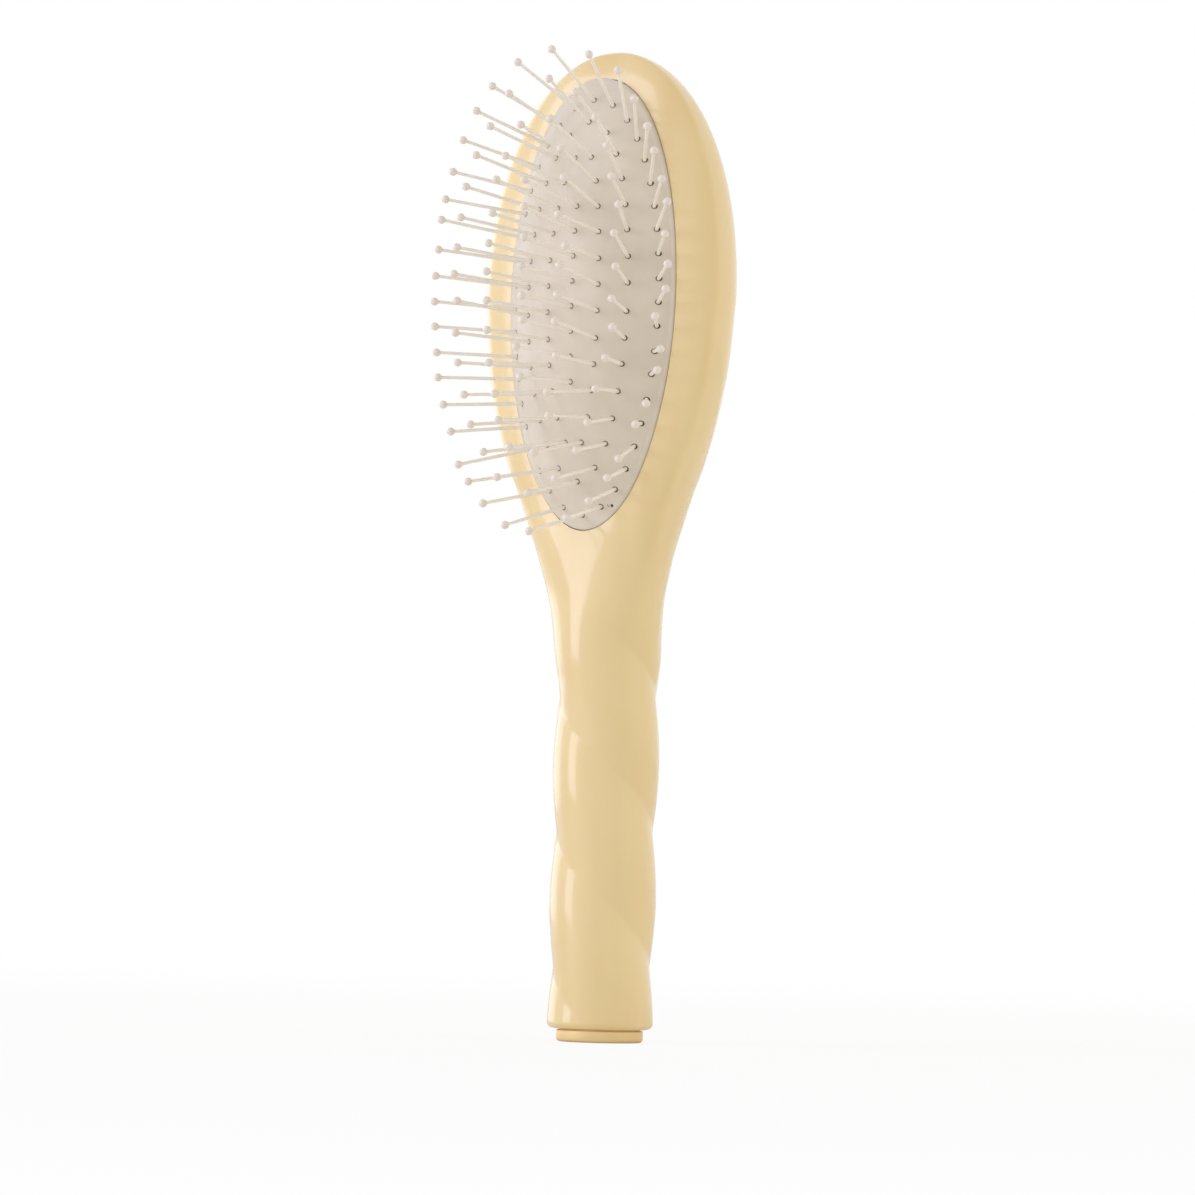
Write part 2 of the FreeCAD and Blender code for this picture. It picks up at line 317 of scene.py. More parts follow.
class MaterialTree(Tree):
    """A material under construction."""

    def __init__(self, name: str) -> None:
        """Starts the material with its shader and its Object coordinates.

        Args:
            name: Name of the material.
        """
        self.material = bpy.data.materials.new(name)
        self.material.use_nodes = True
        super().__init__(self.material.node_tree)
        self.shader = self.nodes["Principled BSDF"]
        self.place = self.add("ShaderNodeTexCoord").outputs["Object"]

    def noise(self, waves: Triple, detail: float, roughness: float = 0.5) -> Socket:
        """Adds a noise that is stretched by its scale.

        Args:
            waves: Triple per metre along each axis.
            detail: Number of octaves.
            roughness: Weight of the finer octaves.

        Returns:
            The noise value's socket.
        """
        mapping = self.add("ShaderNodeMapping", {"Scale": waves})
        self.link(self.place, mapping.inputs["Vector"])
        values = {"Scale": 1.0, "Detail": detail, "Roughness": roughness}
        noise = self.add("ShaderNodeTexNoise", values)
        self.link(mapping.outputs["Vector"], noise.inputs["Vector"])
        return noise.outputs["Fac"]

    def ramp(self, value: Socket, deep: Screen, light: Screen, edge: float = 0.3) -> Socket:
        """Turns a value into a colour between two.

        Args:
            value: Socket of the value.
            deep: Colour of the low values.
            light: Colour of the high values.
            edge: Share at each end that has the plain colour.

        Returns:
            The colour's socket.
        """
        ramp = self.add("ShaderNodeValToRGB")
        stops = ((edge, linear(*deep)), (1.0 - edge, linear(*light)))
        for element, (position, colour) in zip(ramp.color_ramp.elements, stops):
            element.position = position
            element.color = colour
        self.link(value, ramp.inputs["Fac"])
        return ramp.outputs["Color"]

    def roughen(self, value: Socket, low: float, high: float) -> None:
        """Spreads a value from 0 to 1 over a range of the shader's roughness.

        Args:
            value: Socket of the value.
            low: Roughness at 0.
            high: Roughness at 1.
        """
        spread = self.add("ShaderNodeMapRange", {"To Min": low, "To Max": high})
        self.link(value, spread.inputs["Value"])
        self.link(spread.outputs["Result"], self.shader.inputs["Roughness"])

    def bump(self, value: Socket, strength: float, distance: float) -> None:
        """Raises the surface by a value.

        Args:
            value: Socket of the height.
            strength: Strength of the effect from 0 to 1.
            distance: Full height in metres.
        """
        bump = self.add("ShaderNodeBump", {"Strength": strength, "Distance": distance})
        self.link(value, bump.inputs["Height"])
        before = self.shader.inputs["Normal"].links
        if before:
            self.link(before[0].from_socket, bump.inputs["Normal"])
        self.link(bump.outputs["Normal"], self.shader.inputs["Normal"])

    def paint(self, colour: Socket) -> None:
        """Gives the surface its colour."""
        self.link(colour, self.shader.inputs["Base Color"])

    def mix(self, share: Socket, first: Socket, second: Colour) -> Socket:
        """Mixes a colour towards a fixed one.

        Args:
            share: Socket of the share of the second colour.
            first: Socket of the first colour.
            second: The fixed colour.

        Returns:
            The mixed colour's socket.
        """
        mix = self.add("ShaderNodeMix", data_type="RGBA", blend_type="MIX")
        self.link(share, mix.inputs["Factor"])
        self.link(first, mix.inputs[MixSocket.FIRST.value])
        mix.inputs[MixSocket.SECOND.value].default_value = second
        return mix.outputs[MixSocket.RESULT.value]

    def fixed(self, **values: object) -> None:
        """Sets the shader's plain values. An underscore in a name stands for a space."""
        for name, value in values.items():
            self.shader.inputs[name.replace("_", " ")].default_value = value


@dataclass(frozen=True)
class PolishedAcetate:
    """Cream yellow acetate, polished, with a faint pearly drift along its length."""

    light: Screen = (245, 218, 159)
    deep: Screen = (235, 203, 137)
    roughness: Pair = (0.42, 0.5)
    drift_waves: Triple = (70.0, 70.0, 6.0)
    haze_waves: Triple = (90.0, 90.0, 60.0)
    swell_waves: Triple = (45.0, 45.0, 30.0)

    def material(self) -> Material:
        """Builds the material.

        Returns:
            The material.
        """
        tree = MaterialTree("polished_acetate")
        drift = tree.noise(self.drift_waves, detail=4.0, roughness=0.45)
        tree.paint(tree.ramp(drift, self.deep, self.light))
        haze = tree.noise(self.haze_waves, detail=3.0)
        tree.roughen(haze, *self.roughness)
        swell = tree.noise(self.swell_waves, detail=2.0)
        tree.bump(swell, strength=0.06, distance=0.0006)
        tree.fixed(
            IOR=1.49,
            Subsurface_Weight=0.12,
            Subsurface_Radius=(1.0, 0.62, 0.3),
            Subsurface_Scale=0.003,
            Specular_IOR_Level=0.8,
            Coat_Weight=0.8,
            Coat_Roughness=0.12,
            Sheen_Weight=0.12,
            Sheen_Roughness=0.4,
        )
        return tree.material


@dataclass(frozen=True)
class MouldedRubber:
    """Matte beige rubber with a fine skin, and painted shade that darkens it round the root of each
    pin.
    """

    light: Screen = (235, 223, 205)
    deep: Screen = (219, 206, 186)
    # Painted shade: the colour of the shadow in the gap round each pin's root and round the vent.
    root: Screen = (74, 54, 38)
    roughness: Pair = (0.49, 0.65)
    # Inner and outer radius in mm of the painted shade round each root.
    painted_shade_mm: Pair = (0.5, 0.74)
    cloud_waves: Triple = (60.0, 60.0, 60.0)
    grain_waves: Triple = (1700.0, 1700.0, 1700.0)
    swell_waves: Triple = (220.0, 220.0, 220.0)

    def painted_hole_shade(self, tree: MaterialTree) -> Socket:
        """Gives how much painted shade a point takes, standing for the shadow in the gap round a
        pin's root, from its offset to the nearest pin or the vent in the cushion.

        Args:
            tree: The material under construction.

        Returns:
            The share of the dark colour of the painted shade.
        """
        offset = tree.add("ShaderNodeAttribute", attribute_name=Cushion.ROOT_OFFSET)
        away = tree.add("ShaderNodeVectorMath", operation="LENGTH")
        tree.link(offset.outputs["Vector"], away.inputs[0])
        inner, outer = self.painted_shade_mm
        values = {"From Min": inner, "From Max": outer, "To Min": 1.0, "To Max": 0.0}
        dark = tree.add("ShaderNodeMapRange", values, interpolation_type="SMOOTHSTEP")
        tree.link(away.outputs["Value"], dark.inputs["Value"])
        return dark.outputs["Result"]

    def material(self) -> Material:
        """Builds the material.

        Returns:
            The material.
        """
        tree = MaterialTree("moulded_rubber")
        colour = tree.ramp(tree.noise(self.cloud_waves, detail=4.0), self.deep, self.light)
        # Painted shade: a dark ring round each pin's root, and a smaller one at the vent, stands for
        # the shadow in the gap there.
        tree.paint(tree.mix(self.painted_hole_shade(tree), colour, linear(*self.root)))
        grain = tree.noise(self.grain_waves, detail=3.0, roughness=0.6)
        tree.roughen(grain, *self.roughness)
        tree.bump(grain, strength=0.22, distance=0.00012)
        swell = tree.noise(self.swell_waves, detail=2.0)
        tree.bump(swell, strength=0.1, distance=0.0002)
        tree.fixed(
            IOR=1.5,
            Subsurface_Weight=0.06,
            Subsurface_Radius=(1.0, 0.7, 0.5),
            Subsurface_Scale=0.001,
            Sheen_Weight=0.35,
            Sheen_Roughness=0.5,
        )
        return tree.material


@dataclass(frozen=True)
class SatinNylon:
    """Cream nylon, a little translucent, with drawn streaks along the pins."""

    light: Screen = (255, 249, 240)
    deep: Screen = (249, 240, 226)
    tip: Screen = (241, 230, 216)
    roughness: Pair = (0.28, 0.44)
    streak_waves: Triple = (500.0, 160.0, 500.0)
    swell_waves: Triple = (900.0, 900.0, 900.0)

    def material(self) -> Material:
        """Builds the material.

        Returns:
            The material.
        """
        tree = MaterialTree("satin_nylon")
        streak = tree.noise(self.streak_waves, detail=3.0)
        tip = tree.add("ShaderNodeAttribute", attribute_name=PinField.TIP).outputs["Fac"]
        tree.paint(tree.mix(tip, tree.ramp(streak, self.deep, self.light), linear(*self.tip)))
        tree.roughen(streak, *self.roughness)
        swell = tree.noise(self.swell_waves, detail=2.0)
        tree.bump(swell, strength=0.04, distance=0.00002)
        tree.fixed(
            IOR=1.53,
            Subsurface_Weight=0.15,
            Subsurface_Radius=(1.0, 0.85, 0.65),
            Subsurface_Scale=0.0006,
        )
        return tree.material


@dataclass(frozen=True)
class TurnedBrass:
    """Pale brass with the fine rings that turning leaves."""

    light: Screen = (243, 218, 166)
    deep: Screen = (231, 202, 143)
    roughness: Pair = (0.42, 0.62)
    plain_share: float = 0.25
    ring_waves: Triple = (60.0, 60.0, 9000.0)

    def material(self) -> Material:
        """Builds the material.

        Returns:
            The material.
        """
        tree = MaterialTree("turned_brass")
        rings = tree.noise(self.ring_waves, detail=3.0, roughness=0.6)
        tree.paint(tree.ramp(rings, self.deep, self.light, self.plain_share))
        tree.roughen(rings, *self.roughness)
        tree.bump(rings, strength=0.12, distance=0.00005)
        tree.fixed(Metallic=0.45)
        return tree.material


class Curve:
    """A smooth curve through given values that never swings past them."""

    def __init__(self, places: list[float], values: list[float]) -> None:
        """Works out the slopes at the given places.

        Args:
            places: Rising places of the values.
            values: The values.
        """
        self.places = places
        self.values = values
        steps = zip(places, places[1:], values, values[1:])
        chords = [(b - a) / (q - p) for p, q, a, b in steps]
        self.slopes = [chords[0]]
        for before, after in zip(chords, chords[1:]):
            turns = before * after <= 0.0
            self.slopes.append(0.0 if turns else 2.0 * before * after / (before + after))
        self.slopes.append(chords[-1])

    def at(self, place: float) -> float:
        """Gives the value at a place.

        Args:
            place: The place, which is taken to the nearest end if it lies outside.

        Returns:
            The value.
        """
        place = min(max(place, self.places[0]), self.places[-1])
        number = max(n for n in range(len(self.places) - 1) if self.places[n] <= place)
        width = self.places[number + 1] - self.places[number]
        t = (place - self.places[number]) / width
        a, b = self.values[number], self.values[number + 1]
        m, n = self.slopes[number] * width, self.slopes[number + 1] * width
        before = (2 * t**3 - 3 * t**2 + 1) * a + (t**3 - 2 * t**2 + t) * m
        return before + (3 * t**2 - 2 * t**3) * b + (t**3 - t**2) * n


@dataclass
class Head:
    """The cushion's plane in the head and the oval in it. Its own frame has Z out of the head."""

    centre_forward_mm: float = 10.4
    centre_height_mm: float = 166.8
    lean: float = 0.8
    half_width_mm: float = 22.7
    half_length_mm: float = 51.6
    egg_share: float = 0.04

    def placement(self) -> Matrix:
        """Gives the place of the cushion's frame.

        Returns:
            The matrix from the cushion's frame in metres to the brush's.
        """
        centre = (0.0, -self.centre_forward_mm * MM, self.centre_height_mm * MM)
        upright = RIGHT_ANGLE - self.lean
        return Matrix.Translation(centre) @ Matrix.Rotation(math.radians(upright), 4, "X")

    def outline(self, half_width: float, half_length: float, angle: float) -> Pair:
        """Gives the point at an angle in radians of an oval in mm that is wider towards its top."""
        across = half_width * math.cos(angle) * (1.0 + self.egg_share * math.sin(angle))
        return across, half_length * math.sin(angle)

    def ring(self, half_width: float, half_length: float, out: float, count: int) -> list[Vector]:
        """Gives a ring of points of the oval at one level, placed in the head.

        Args:
            half_width: Half width in mm.
            half_length: Half length in mm.
            out: Level of the ring in mm.
            count: Number of points.

        Returns:
            The points in metres in the brush's frame.
        """
        place = self.placement()
        angles = [2.0 * math.pi * n / count for n in range(count)]
        points = [self.outline(half_width, half_length, angle) for angle in angles]
        return [place @ Vector((x * MM, y * MM, out * MM)) for x, y in points]

    def forward_mm(self, height: float) -> float:
        """Gives how far the head's front plane lies before the axis at a height in mm."""
        above = height - self.centre_height_mm
        return self.centre_forward_mm - above * math.tan(math.radians(self.lean))


@dataclass
class Body:
    """Head, neck and twisted handle, in one polished piece.

    Each row of the neck's shares has a share of the neck's height, and there the shares of the
    way to the head's width, front depth, back depth, forward place and squareness.
    """

    head: Head
    length_mm: float = 225.0
    widest_mm: float = 168.6
    half_width_mm: float = 32.2
    front_mm: float = 6.1
    back_mm: float = 16.8
    front_power: float = 4.0
    back_power: float = 2.5
    crown_width_power: float = 2.07
    crown_depth_power: float = 2.3
    handle_radius_mm: float = 10.75
    handle_bottom_mm: float = 2.9
    handle_rounding_mm: float = 1.5
    neck_mm: float = 82.0
    lobe_mm: float = 1.3
    softness_share: float = 0.12
    twist_pitch_mm: float = 61.0
    twist_end_mm: float = 124.2
    twist_fade_mm: float = 20.0
    fade_start_mm: float = 84.0
    fade_end_mm: float = 106.0
    pocket_gap_mm: float = 0.15
    pocket_depth_mm: float = 10.0
    pocket_overrun_mm: float = 4.0
    pocket_sides: int = 180
    around: int = 144
    rounding_steps: int = 9
    handle_steps: int = 90
    neck_steps: int = 78
    crown_steps: int = 64
    crisp_angle: float = 38.0
    neck_shares: tuple[tuple[float, ...], ...] = (
        (0.000, 0.000, 0.000, 0.00, 0.00, 0.00),
        (0.050, 0.010, 0.045, 0.09, 0.09, 0.00),
        (0.100, 0.024, 0.150, 0.25, 0.25, 0.00),
        (0.160, 0.070, 0.240, 0.37, 0.38, 0.01),
        (0.210, 0.130, 0.385, 0.48, 0.50, 0.04),
        (0.260, 0.190, 0.520, 0.59, 0.60, 0.14),
        (0.330, 0.267, 0.720, 0.77, 0.76, 0.31),
        (0.410, 0.373, 0.920, 0.95, 0.89, 0.64),
        (0.485, 0.492, 1.000, 0.99, 0.95, 0.82),
        (0.565, 0.638, 1.000, 1.00, 0.98, 0.96),
        (0.680, 0.797, 1.000, 1.00, 1.00, 1.00),
        (0.840, 0.938, 1.000, 1.00, 1.00, 1.00),
        (1.000, 1.000, 1.000, 1.00, 1.00, 1.00),
    )

    def twist(self, height: float) -> float:
        """Gives the turn of the lobes at a height.

        Args:
            height: Height in mm.

        Returns:
            The turn in radians, which dies away towards the end of the twist.
        """
        below = max(0.0, self.twist_end_mm - height)
        if below < self.twist_fade_mm:
            turned = below * below / (2.0 * self.twist_fade_mm)
        else:
            turned = below - self.twist_fade_mm / 2.0
        return 2.0 * math.pi * turned / self.twist_pitch_mm

    def section(
        self,
        height: float,
        forward: float,
        half_width: float,
        front: float,
        back: float,
        squareness: float,
    ) -> list[Vector]:
        """Gives the outline of the body at one height.

        Args:
            height: Height in mm.
            forward: How far its widest line lies before the axis, in mm.
            half_width: Half width in mm.
            front: Depth before the widest line in mm.
            back: Depth behind the widest line in mm.
            squareness: 0 for round, 1 for the head's own fullness.

        Returns:
            The points in metres.
        """
        turn = self.twist(height)
        lobe = self.lobe_mm / self.handle_radius_mm
        lobe *= 1.0 - smooth_share(height, self.fade_start_mm, self.fade_end_mm)
        points = []
        for index in range(self.around):
            from_crease = 2.0 * math.pi * index / self.around
            angle = from_crease - turn
            in_front = math.sin(angle) > 0.0
            depth = front if in_front else back
            fullness = self.front_power if in_front else self.back_power
            power = ROUND_POWER / between(ROUND_POWER, fullness, squareness)
            swell = 1.0 + lobe * math.hypot(math.sin(from_crease), self.softness_share)
            across = half_width * signed_power(math.cos(angle), power) * swell
            out = depth * signed_power(math.sin(angle), power) * swell
            points.append(Vector((across, -forward - out, height)) * MM)
        return points

    def handle_section(self, height: float, radius: float) -> list[Vector]:
        """Gives the outline of the handle at one height, both in mm."""
        return self.section(height, 0.0, radius, radius, radius, 0.0)

    def handle_rows(self) -> list[list[Vector]]:
        """Gives the sections from the rounded lower end to the neck.

        Returns:
            The sections, from the pole under the lower end upwards.
        """
        rows = [[Vector((0.0, 0.0, self.handle_bottom_mm * MM))] * self.around]
        for step in range(self.rounding_steps):
            share = step / self.rounding_steps
            inset = self.handle_rounding_mm * (1.0 - math.sqrt(1.0 - (1.0 - share) ** 2))
            height = self.handle_bottom_mm + self.handle_rounding_mm * share
            rows.append(self.handle_section(height, self.handle_radius_mm - inset))
        start = self.handle_bottom_mm + self.handle_rounding_mm
        for step in range(self.handle_steps):
            height = between(start, self.neck_mm, step / self.handle_steps)
            rows.append(self.handle_section(height, self.handle_radius_mm))
        return rows

    def neck_rows(self) -> list[list[Vector]]:
        """Gives the sections from the neck to the head's widest line.

        Returns:
            The sections, without the one at the widest line.
        """
        columns = list(zip(*self.neck_shares))
        curves = [Curve(list(columns[0]), list(column)) for column in columns[1:]]
        rows = []
        for step in range(self.neck_steps):
            rise = step / self.neck_steps
            width, front, back, shift, squareness = (curve.at(rise) for curve in curves)
            height = between(self.neck_mm, self.widest_mm, rise)
            rows.append(
                self.section(
                    height,
                    (self.head.forward_mm(height) - self.front_mm) * shift,
                    between(self.handle_radius_mm, self.half_width_mm, width),
                    between(self.handle_radius_mm, self.front_mm, front),
                    between(self.handle_radius_mm, self.back_mm, back),
                    squareness,
                )
            )
        return rows

    def crown_rows(self) -> list[list[Vector]]:
        """Gives the sections of the head's upper half, which rounds off on all sides.

        Returns:
            The sections, from the widest line to the pole at the top.
        """
        rows = []
        for step in range(self.crown_steps + 1):
            rise = math.sin(math.radians(RIGHT_ANGLE * step / self.crown_steps))
            height = between(self.widest_mm, self.length_mm, rise)
            width = (1.0 - rise**self.crown_width_power) ** (1.0 / self.crown_width_power)
            depth = (1.0 - rise**self.crown_depth_power) ** (1.0 / self.crown_depth_power)
            rows.append(
                self.section(
                    height,
                    self.head.forward_mm(height) - self.front_mm,
                    self.half_width_mm * width,
                    self.front_mm * depth,
                    self.back_mm * depth,
                    1.0,
                )
            )
        return rows

    def build(self, material: Material) -> Piece:
        """Builds and dresses the body.

        Args:
            material: The polished acetate.

        Returns:
            The finished piece.
        """
        rows = self.handle_rows() + self.neck_rows() + self.crown_rows()
        piece = Bench.wrap("polished_body", rows)
        width = self.head.half_width_mm + self.pocket_gap_mm
        length = self.head.half_length_mm + self.pocket_gap_mm
        levels = (-self.pocket_depth_mm, self.pocket_depth_mm + self.pocket_overrun_mm)
        rings = [self.head.ring(width, length, level, self.pocket_sides) for level in levels]
        Bench.cut(piece, Bench.wrap("pocket_cutter", rings))
        Bench.dress(piece, self.crisp_angle, material, Slot.ACETATE)
        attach(piece, Carrier.HANDLE.value)
        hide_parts("handle_body")
        return piece


@dataclass
class Cushion:
    """The domed rubber shell with a dimple at the root of each pin.

    Its skirt reaches down into the pocket.
    """

    ROOT_OFFSET = "root_offset"

    head: Head
    dome_mm: float = 7.9
    dome_power: float = 2.5
    edge_drop_mm: float = 0.45
    edge_rounding_mm: float = 0.7
    edge_steps: int = 6
    skirt_mm: float = 5.0
    fold_start_mm: float = -0.4
    fold_end_mm: float = 0.7
    fan_top_share: float = 1.35
    fan_bottom_share: float = 0.85
    rise: float = 2.0
    dimple_mm: float = 0.3
    dimple_radius_mm: float = 0.8
    dimple_reach_mm: float = 1.7
    cell_mm: float = 2.0
    far_offset_mm: Triple = (0.0, 0.0, 10.0)
    around: int = 384
    rings: int = 120
    share_rounds: int = 6
    least_share: float = 0.001
    crisp_angle: float = 60.0
    vent_mm: Pair = (7.7, -46.3)
    vent_share: float = 0.55

    def share(self, across: float, along: float) -> float:
        """Gives where a point lies between the crown and the rim.

        Args:
            across: Place across the cushion in mm.
            along: Place along the cushion in mm.

        Returns:
            The share, 0 at the crown and 1 at the rim.
        """
        share = 1.0
        along_share = along / self.head.half_length_mm
        for _ in range(self.share_rounds):
            egg = self.head.egg_share * along_share / max(share, self.least_share)
            share = math.hypot(across / (self.head.half_width_mm * (1.0 + egg)), along_share)
        return share

    def out_mm(self, share: float) -> float:
        """Gives how far the dome stands out at a share of its outline."""
        whole = self.dome_mm + self.edge_drop_mm
        return whole * (1.0 - share**self.dome_power) - self.edge_drop_mm

    def pin_turn(self, across: float, along: float) -> tuple[Vector, Quaternion]:
        """Gives how a pin stands in the cushion's frame.

        Args:
            across: Place across the cushion in mm.
            along: Place along the cushion in mm.

        Returns:
            The place of its root in mm, and its turn.
        """
        share = self.share(across, along)
        height = (1.0 + along / self.head.half_length_mm) / 2.0
        fan = between(self.fan_bottom_share, self.fan_top_share, height)
        whole = self.dome_mm + self.edge_drop_mm
        slope = whole * self.dome_power * share ** (self.dome_power - 2.0) * fan
        rise = slope * along / self.head.half_length_mm**2 + math.tan(math.radians(self.rise))
        direction = Vector((slope * across / self.head.half_width_mm**2, rise, 1.0))
        place = Vector((across, along, self.out_mm(share)))
        return place, Vector((0.0, 0.0, 1.0)).rotation_difference(direction)

    def ring(self, half_width: float, half_length: float, out: float) -> list[Vector]:
        """Gives one ring of the shell, its sizes in mm."""
        return self.head.ring(half_width, half_length, out, self.around)

    def rows(self) -> list[list[Vector]]:
        """Gives the rings of the shell from its crown to the skirt in the pocket.

        Returns:
            The rings, with a pole at the crown and one under the skirt.
        """
        width, length = self.head.half_width_mm, self.head.half_length_mm
        rows = [self.ring(0.0, 0.0, self.out_mm(0.0))]
        inner = 1.0 - self.edge_rounding_mm / width
        for number in range(1, self.rings + 1):
            share = inner * number / self.rings
            rows.append(self.ring(width * share, length * share, self.out_mm(share)))
        rim = self.out_mm(inner)
        for step in range(1, self.edge_steps + 1):
            turn = math.radians(RIGHT_ANGLE * step / self.edge_steps)
            grow = self.edge_rounding_mm * (math.sin(turn) - 1.0)
            level = rim - self.edge_rounding_mm * (1.0 - math.cos(turn))
            rows.append(self.ring(width + grow, length + grow, level))
        rows.append(self.ring(width, length, -self.skirt_mm))
        rows.append(self.ring(0.0, 0.0, -self.skirt_mm))
        return rows

    def cell(self, across: float, along: float) -> tuple[int, int]:
        """Gives the cell of the search grid that a point in mm lies in."""
        return math.floor(across / self.cell_mm), math.floor(along / self.cell_mm)

    def dimple(self, piece: Piece, roots: list[Pair]) -> None:
        """Presses a dimple round each pin and the vent, and notes the offset of the points near it,
        from which the rubber's painted shade round each root is drawn.

        Args:
            piece: The shell.
            roots: Places of the pins in mm across and along the cushion.
        """
        back = self.head.placement().inverted()
        inward = self.head.placement().to_3x3() @ Vector((0.0, 0.0, -1.0))
        grid: dict[tuple[int, int], list[Triple]] = {}
        for x, y, size in [*((x, y, 1.0) for x, y in roots), (*self.vent_mm, self.vent_share)]:
            column, row = self.cell(x, y)
            for i in (-1, 0, 1):
                for j in (-1, 0, 1):
                    grid.setdefault((column + i, row + j), []).append((x, y, size))
        offsets = piece.data.attributes.new(self.ROOT_OFFSET, "FLOAT_VECTOR", "POINT")
        for number, vertex in enumerate(piece.data.vertices):
            local = back @ vertex.co / MM
            offsets.data[number].vector = self.far_offset_mm
            if local.z < 0.0:
                continue
            for x, y, size in grid.get(self.cell(local.x, local.y), ()):
                offset = Vector((local.x - x, local.y - y, 0.0)) / size
                if offset.length > self.dimple_reach_mm:
                    continue
                offsets.data[number].vector = offset
                depth = math.exp(-((offset.length / self.dimple_radius_mm) ** 2))
                vertex.co += inward * (self.dimple_mm * MM * depth)
        piece.data.update()

    def build(self, material: Material, roots: list[Pair]) -> Piece:
        """Builds and dresses the cushion.

        Args:
            material: The moulded rubber.
            roots: Places of the pins in mm across and along the cushion.

        Returns:
            The finished piece.
        """
        piece = Bench.wrap("rubber_cushion", self.rows())
        self.dimple(piece, roots)
        Bench.dress(piece, self.crisp_angle, material, Slot.RUBBER)
        place = self.head.placement()
        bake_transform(piece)
        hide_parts("cushion")
        return piece


@dataclass(frozen=True)
class PinRing:
    """One oval ring of pins and the names of its groups."""

    prefix: str
    width_share: float
    length_share: float
    centre_share: float
    count: int
    groups: tuple[str, ...]


